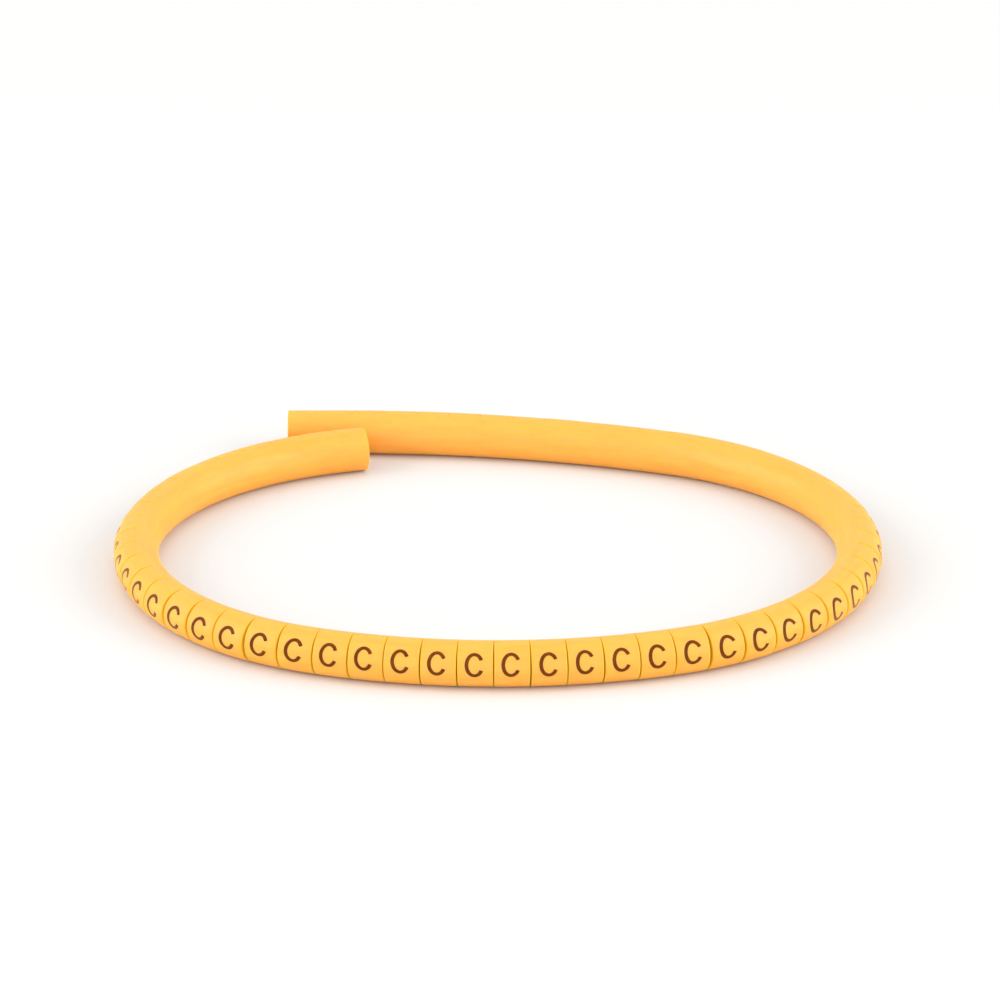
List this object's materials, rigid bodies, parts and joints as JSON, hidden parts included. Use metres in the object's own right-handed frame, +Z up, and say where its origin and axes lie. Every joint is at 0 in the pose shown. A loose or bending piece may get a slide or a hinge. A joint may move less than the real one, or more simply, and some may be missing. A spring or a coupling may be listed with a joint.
{
  "type": "cable marker strip",
  "caption": "Coiled strip of tubular cable markers, one soft tube slit across between the markers and held by an uncut spine on the inside of the coil.",
  "frame": {"origin": "on the surface that the coil lies on, under the middle of its box", "axes": "+Z up from the surface, +X along the coil's long way, -Y to the front, where the coil is flat and single"},
  "size_m": [0.115, 0.1002, 0.0067],
  "materials": {
    "yellow_pvc": "satin soft PVC"
  },
  "bodies": {
    "root": {"marker_strip": "yellow_pvc"}
  },
  "joints": []
}
